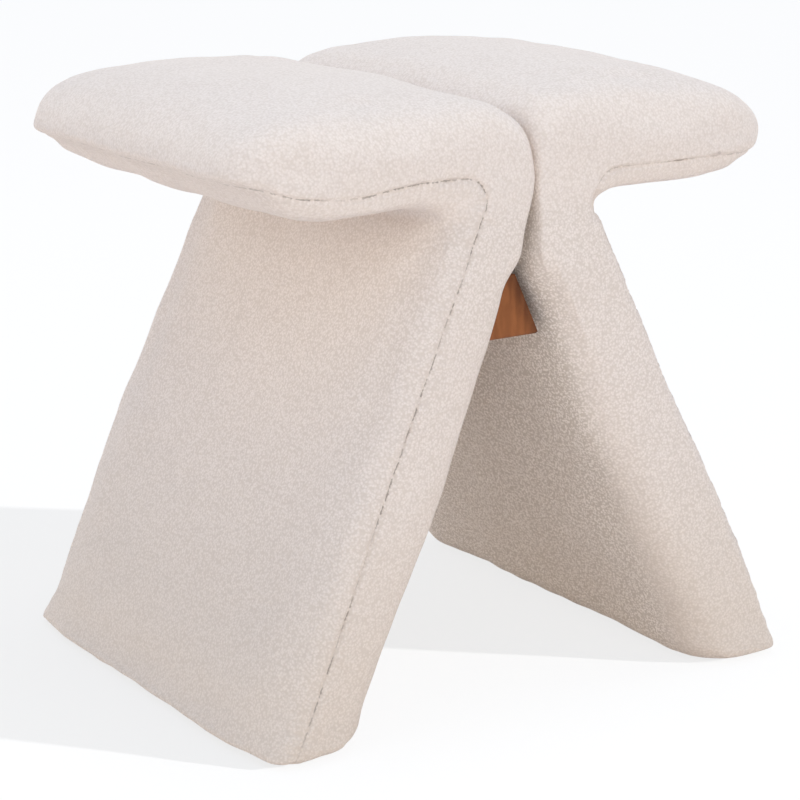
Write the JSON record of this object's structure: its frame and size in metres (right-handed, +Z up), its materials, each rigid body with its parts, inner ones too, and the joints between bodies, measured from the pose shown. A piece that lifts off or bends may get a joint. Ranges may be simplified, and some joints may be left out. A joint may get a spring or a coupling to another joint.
{
  "type": "footstool",
  "caption": "Low upholstered footstool in off-white boucle: seven-shaped padded halves back to back, slanted slab legs under outward seat wings, tied by a wooden wedge under the crease.",
  "frame": {"origin": "on the floor, under the middle of the crease", "axes": "+Z up, X across the two wings with +X on the right half, Y along the crease with -Y to the front"},
  "size_m": [0.4398, 0.37, 0.43],
  "materials": {
    "boucle_cover": "off-white boucle with small nubby loops",
    "foam": "cut polyurethane foam",
    "plywood": "bare plywood and softwood",
    "wedge_wood": "stained brown wood, satin",
    "dust_cloth": "thin black non-woven",
    "glide_steel": "plated steel, nail-on",
    "screw_steel": "zinc plated"
  },
  "bodies": {
    "root": {"block_screws": "screw_steel", "left_base_cloth": "dust_cloth", "left_foot_rail": "plywood", "left_front_rib": "plywood", "left_glides": "glide_steel", "left_leg_inner_foam": "foam", "left_leg_inner_skin": "plywood", "left_leg_outer_foam": "foam", "left_leg_outer_skin": "plywood", "left_middle_rib": "plywood", "left_rear_rib": "plywood", "left_screw_rail": "plywood", "left_seat_foam": "foam", "left_seat_top_skin": "plywood", "left_spine_board": "plywood", "left_tip_rail": "plywood", "left_top_cover": "boucle_cover", "left_under_cover": "boucle_cover", "left_wing_under_foam": "foam", "left_wing_under_skin": "plywood", "right_base_cloth": "dust_cloth", "right_foot_rail": "plywood", "right_front_rib": "plywood", "right_glides": "glide_steel", "right_leg_inner_foam": "foam", "right_leg_inner_skin": "plywood", "right_leg_outer_foam": "foam", "right_leg_outer_skin": "plywood", "right_middle_rib": "plywood", "right_rear_rib": "plywood", "right_screw_rail": "plywood", "right_seat_foam": "foam", "right_seat_top_skin": "plywood", "right_spine_board": "plywood", "right_tip_rail": "plywood", "right_top_cover": "boucle_cover", "right_under_cover": "boucle_cover", "right_wing_under_foam": "foam", "right_wing_under_skin": "plywood", "wedge_block": "wedge_wood"}
  },
  "joints": []
}
